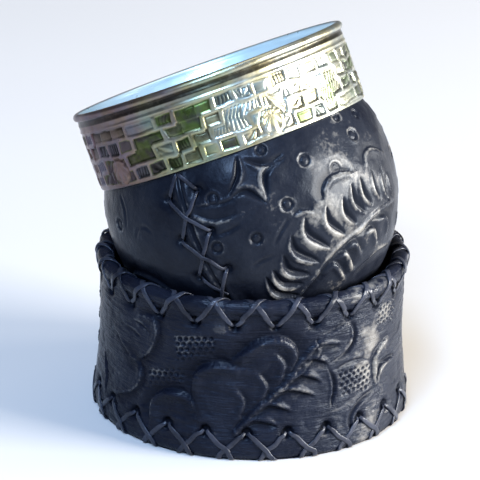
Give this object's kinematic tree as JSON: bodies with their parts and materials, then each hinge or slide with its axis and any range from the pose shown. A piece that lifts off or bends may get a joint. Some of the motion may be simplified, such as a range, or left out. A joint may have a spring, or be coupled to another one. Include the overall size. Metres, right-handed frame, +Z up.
{
  "type": "mate gourd in leather stand",
  "caption": "Empty round mate gourd covered in tooled leather, with an engraved metal rim band, leaning in a short laced leather ring stand.",
  "frame": {"origin": "under the middle of the whole object's box, at the foot of the stand", "axes": "+Z up, -Y towards the front; the gourd leans towards -X and +Y"},
  "size_m": [0.1013, 0.0979, 0.1178],
  "materials": {
    "calabash": "dry gourd, matt",
    "gourd_leather": "tooled, polished",
    "stand_leather": "tooled, polished",
    "lining_leather": "rough, matt",
    "lace": "waxed",
    "rim_metal": "engraved, polished"
  },
  "bodies": {
    "root": {"gourd_shell": "calabash", "gourd_cover": "gourd_leather", "gourd_seam_lace": "lace", "rim_band": "rim_metal", "stand_wall": "stand_leather", "stand_lining": "lining_leather", "stand_top_lace": "lace", "stand_foot_lace": "lace"}
  },
  "joints": []
}
